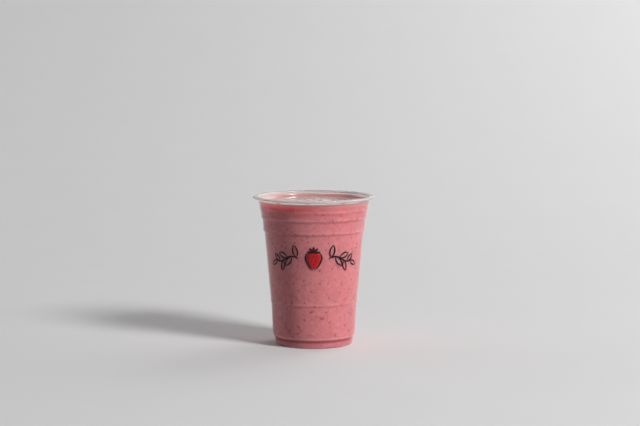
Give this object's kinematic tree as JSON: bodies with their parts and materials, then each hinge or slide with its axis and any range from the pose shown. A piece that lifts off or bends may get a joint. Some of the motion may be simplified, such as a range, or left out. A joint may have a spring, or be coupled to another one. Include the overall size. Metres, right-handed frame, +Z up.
{
  "type": "strawberry smoothie in a clear cup",
  "caption": "Thick pink strawberry smoothie filling a clear tapered disposable cup with a rolled rim, stacking ribs and a stepped foot, open at the top.",
  "frame": {"origin": "centre of the foot ring's underside, on the surface the cup stands on", "axes": "+Z up along the cup's axis; -Y faces the picture's camera and +X is to its right"},
  "size_m": [0.0982, 0.0982, 0.12],
  "materials": {
    "clear_plastic": "clear, glossy formed sheet",
    "smoothie": "thick blended strawberry drink, opaque pink with dark red flecks"
  },
  "bodies": {
    "root": {"cup": "clear_plastic", "smoothie": "smoothie"}
  },
  "joints": []
}
